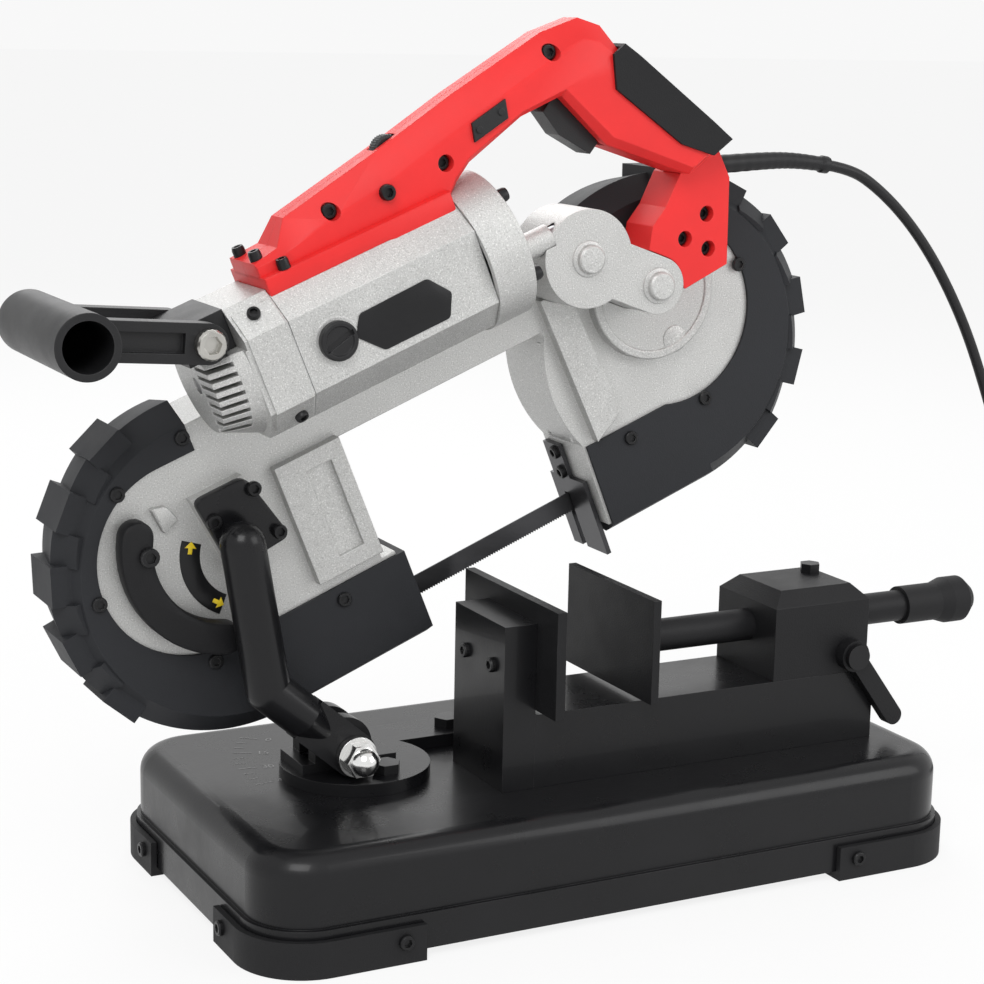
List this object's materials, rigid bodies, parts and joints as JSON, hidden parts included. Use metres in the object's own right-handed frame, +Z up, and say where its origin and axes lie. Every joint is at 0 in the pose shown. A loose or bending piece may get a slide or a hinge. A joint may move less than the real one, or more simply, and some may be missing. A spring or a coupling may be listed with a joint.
{
  "type": "portable band saw on a cutting stand",
  "caption": "Corded portable band saw hinged on a pressed cutting stand with a quick vise, rubber bumpers, rear and front handles.",
  "frame": {"origin": "on the floor under the middle of the stand's base", "axes": "+X along the base from the hinge towards the vise grip, +Y away from the front, +Z up"},
  "size_m": [0.8731, 0.259, 0.5103],
  "materials": {
    "black_steel": "semi-gloss black powder coat",
    "black_cast": "black oxide, slightly rough",
    "dark_rubber": "matte",
    "bumper_rubber": "matte blue grey",
    "tyre_rubber": "matte",
    "cast_alloy": "bead blasted casting",
    "wheel_alloy": "machined casting",
    "screw_steel": "black oxide",
    "zinc_steel": "zinc plated",
    "bright_steel": "bright plated",
    "gear_steel": "machined",
    "blade_steel": "dark tool steel",
    "red_plastic": "matte red",
    "black_plastic": "matte black",
    "carbon": "pressed carbon",
    "cord_rubber": "smooth black jacket",
    "tie_fabric": "woven strap"
  },
  "bodies": {
    "base": {"base_pan": "black_steel", "corner_feet": "dark_rubber", "stand_screws": "screw_steel", "vise_bed": "black_steel", "jaw_post": "black_steel", "fixed_jaw_plate": "black_cast", "vise_block": "black_cast", "hex_bolts": "zinc_steel", "lever_pin": "screw_steel", "swivel_plate": "black_steel", "hinge_bracket": "black_steel", "hinge_bolt": "bright_steel", "cord": "cord_rubber", "cord_coil": "cord_rubber", "cord_tie": "tie_fabric", "plug": "cord_rubber"},
    "vise_slide": {"moving_jaw": "black_cast", "vise_rod": "black_cast", "rod_grip": "dark_rubber"},
    "quick_lever": {"quick_lever": "black_cast"},
    "saw": {"arm_plate": "black_steel", "arm_tube": "black_steel", "main_frame": "cast_alloy", "left_bumper": "bumper_rubber", "right_bumper": "bumper_rubber", "blade": "blade_steel", "blade_guides": "blade_steel", "work_stop": "blade_steel", "motor_housing": "cast_alloy", "vent_cap": "cast_alloy", "gear_head": "cast_alloy", "stator": "gear_steel", "brush_caps": "black_plastic", "carbon_brushes": "carbon", "gear_cover": "cast_alloy", "handle_near_shell": "red_plastic", "handle_far_shell": "red_plastic", "rear_bracket": "red_plastic", "grip_rubber": "dark_rubber", "side_insert": "black_plastic", "handle_bracket": "cast_alloy", "handle_bolt": "zinc_steel", "saw_screws": "screw_steel", "cord_sleeve": "cord_rubber"},
    "front_handle": {"front_handle": "black_plastic"},
    "tension_lever": {"tension_lever": "black_cast"},
    "tension_slide": {"tension_block": "wheel_alloy"},
    "idler_wheel": {"idler_wheel": "wheel_alloy", "idler_tyre": "tyre_rubber"},
    "drive_wheel": {"drive_wheel": "wheel_alloy", "drive_tyre": "tyre_rubber", "drive_axle": "gear_steel", "drive_gear": "gear_steel"},
    "second_shaft": {"second_shaft": "gear_steel", "second_gear": "gear_steel"},
    "first_shaft": {"first_shaft": "gear_steel"},
    "worm_shaft": {"worm_shaft": "gear_steel"},
    "armature": {"armature": "gear_steel"},
    "trigger": {"trigger": "black_plastic"},
    "speed_dial": {"speed_dial": "black_plastic"}
  },
  "joints": [
    {"name": "saw_pivot", "type": "hinge", "parent": "base", "child": "saw", "pos_m": [-0.1405, 0.004, 0.089], "axis": [0, -1, 0], "range_deg": [-28.8, 20], "deforming": ["cord"]},
    {"name": "vise_travel", "type": "slide", "parent": "base", "child": "vise_slide", "axis": [1, 0, 0], "range_m": [-0.047, 0.025]},
    {"name": "quick_lever_turn", "type": "hinge", "parent": "base", "child": "quick_lever", "pos_m": [0.18, -0.0733, 0.124], "axis": [0, -1, 0], "range_deg": [0, 75]},
    {"name": "front_handle_turn", "type": "hinge", "parent": "saw", "child": "front_handle", "pos_m": [-0.2409, -0.029, 0.33857], "axis": [0, -1, 0], "range_deg": [-25, 25]},
    {"name": "tension_lever_turn", "type": "hinge", "parent": "saw", "child": "tension_lever", "pos_m": [-0.25774, -0.006, 0.2138], "axis": [0, 1, 0], "range_deg": [0, 150]},
    {"name": "tension_travel", "type": "slide", "parent": "saw", "child": "tension_slide", "axis": [0.9249, 0, 0.3801], "range_m": [0, 0.002]},
    {"name": "idler_spin", "type": "hinge", "parent": "tension_slide", "child": "idler_wheel", "pos_m": [-0.20357, 0.042, 0.20039], "axis": [0, 1, 0], "continuous": true},
    {"name": "drive_spin", "type": "hinge", "parent": "saw", "child": "drive_wheel", "pos_m": [0.08409, 0.042, 0.3186], "axis": [0, 1, 0], "continuous": true},
    {"name": "second_spin", "type": "hinge", "parent": "saw", "child": "second_shaft", "pos_m": [0.05152, 0.014, 0.35588], "axis": [0, 1, 0], "continuous": true},
    {"name": "first_spin", "type": "hinge", "parent": "saw", "child": "first_shaft", "pos_m": [0.00326, -0.006, 0.37312], "axis": [0, 1, 0], "continuous": true},
    {"name": "worm_spin", "type": "hinge", "parent": "saw", "child": "worm_shaft", "pos_m": [-0.03701, -0.029, 0.37911], "axis": [0.9249, 0, 0.3801], "continuous": true},
    {"name": "armature_spin", "type": "hinge", "parent": "saw", "child": "armature", "pos_m": [-0.12481, -0.029, 0.356], "axis": [0.9249, 0, 0.3801], "continuous": true},
    {"name": "trigger_pull", "type": "hinge", "parent": "saw", "child": "trigger", "pos_m": [-0.0234, -0.029, 0.47228], "axis": [0, -1, 0], "range_deg": [0, 8], "stiffness_Nm_per_rad": 0.8, "springref_deg": -11.46},
    {"name": "speed_dial_turn", "type": "hinge", "parent": "saw", "child": "speed_dial", "pos_m": [-0.12427, -0.029, 0.43623], "axis": [0, 1, 0], "range_deg": [-135, 135]}
  ],
  "couplings": [
    {"joint": "tension_lever_turn", "follows": "tension_travel", "rad_per_m": 1309},
    {"joint": "idler_spin", "follows": "drive_spin", "ratio": 1},
    {"joint": "second_spin", "follows": "drive_spin", "ratio": -3.7143},
    {"joint": "first_spin", "follows": "drive_spin", "ratio": 8.9762},
    {"joint": "worm_spin", "follows": "drive_spin", "ratio": 44.881},
    {"joint": "armature_spin", "follows": "drive_spin", "ratio": -89.762}
  ]
}
